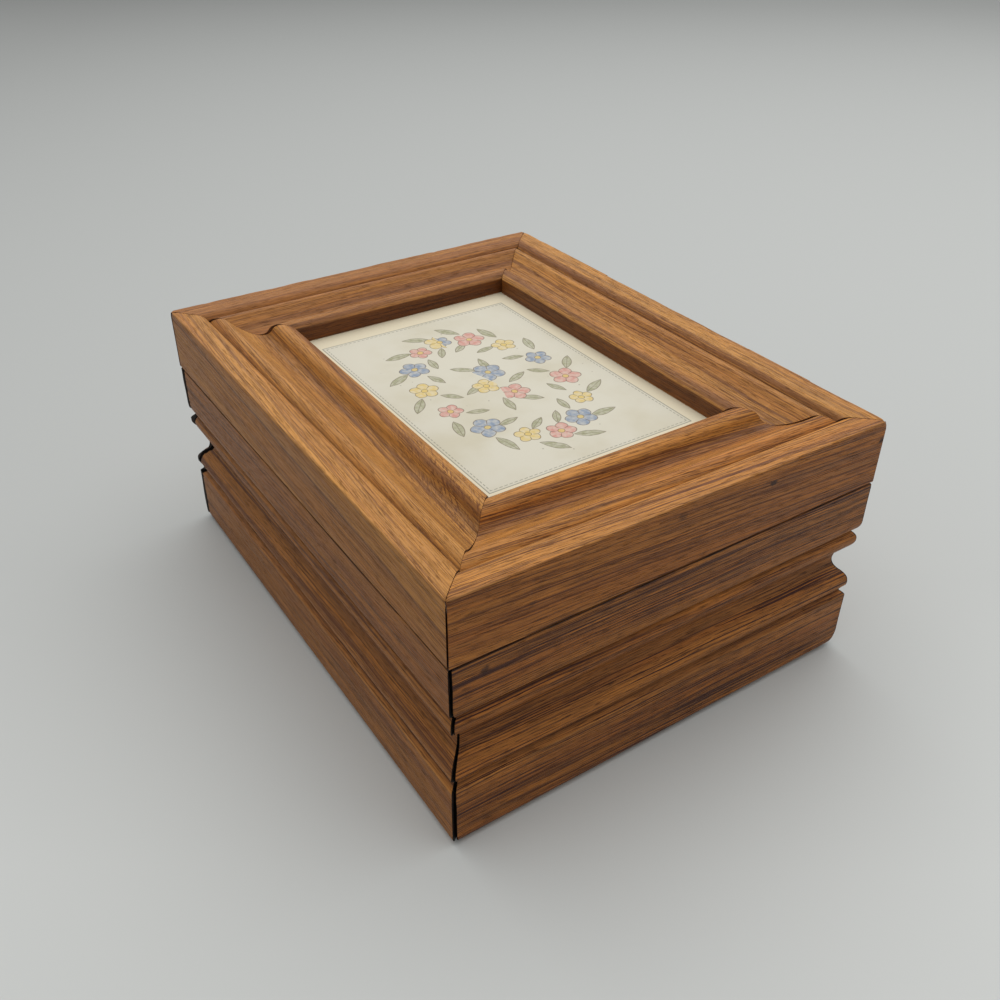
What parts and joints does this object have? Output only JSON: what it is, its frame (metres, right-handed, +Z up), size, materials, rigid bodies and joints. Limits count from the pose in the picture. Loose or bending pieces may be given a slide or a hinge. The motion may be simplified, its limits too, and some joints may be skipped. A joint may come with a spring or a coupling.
{
  "type": "trinket box",
  "caption": "Rectangular wooden trinket box of mitred moulding, with a hinged picture frame lid and a felt lined inside.",
  "frame": {"origin": "middle of the underside, on the surface that the box stands on", "axes": "+X to the right along the front, +Y to the hinged back, +Z up through the lid"},
  "size_m": [0.178, 0.1455, 0.0822],
  "materials": {
    "moulding": "satin varnish over open grained wood",
    "hinge_brass": "drawn brass, lightly lacquered",
    "steel_wire": "bright drawn wire",
    "picture_print": "matte printed card",
    "hardboard": "smooth hardboard",
    "plywood": "sanded plywood",
    "felt": "short pile felt"
  },
  "bodies": {
    "box": {"base_brads": "steel_wire", "base_lining": "felt", "base_panel": "plywood", "box_back_side": "moulding", "box_front_side": "moulding", "box_hinge_screws": "hinge_brass", "box_left_side": "moulding", "box_right_side": "moulding", "corner_brads": "steel_wire", "left_hinge_box_leaf": "hinge_brass", "left_hinge_pin": "hinge_brass", "right_hinge_box_leaf": "hinge_brass", "right_hinge_pin": "hinge_brass"},
    "lid": {"backing_brads": "steel_wire", "left_hinge_lid_leaf": "hinge_brass", "lid_back_rail": "moulding", "lid_corner_wedges": "steel_wire", "lid_front_rail": "moulding", "lid_hinge_screws": "hinge_brass", "lid_left_rail": "moulding", "lid_lining": "felt", "lid_right_rail": "moulding", "picture_backing": "hardboard", "picture_card": "picture_print", "right_hinge_lid_leaf": "hinge_brass"}
  },
  "joints": [
    {"name": "lid_hinge", "type": "hinge", "parent": "box", "child": "lid", "pos_m": [0, 0.0729, 0.0618], "axis": [-1, 0, 0], "range_deg": [0, 180]}
  ]
}
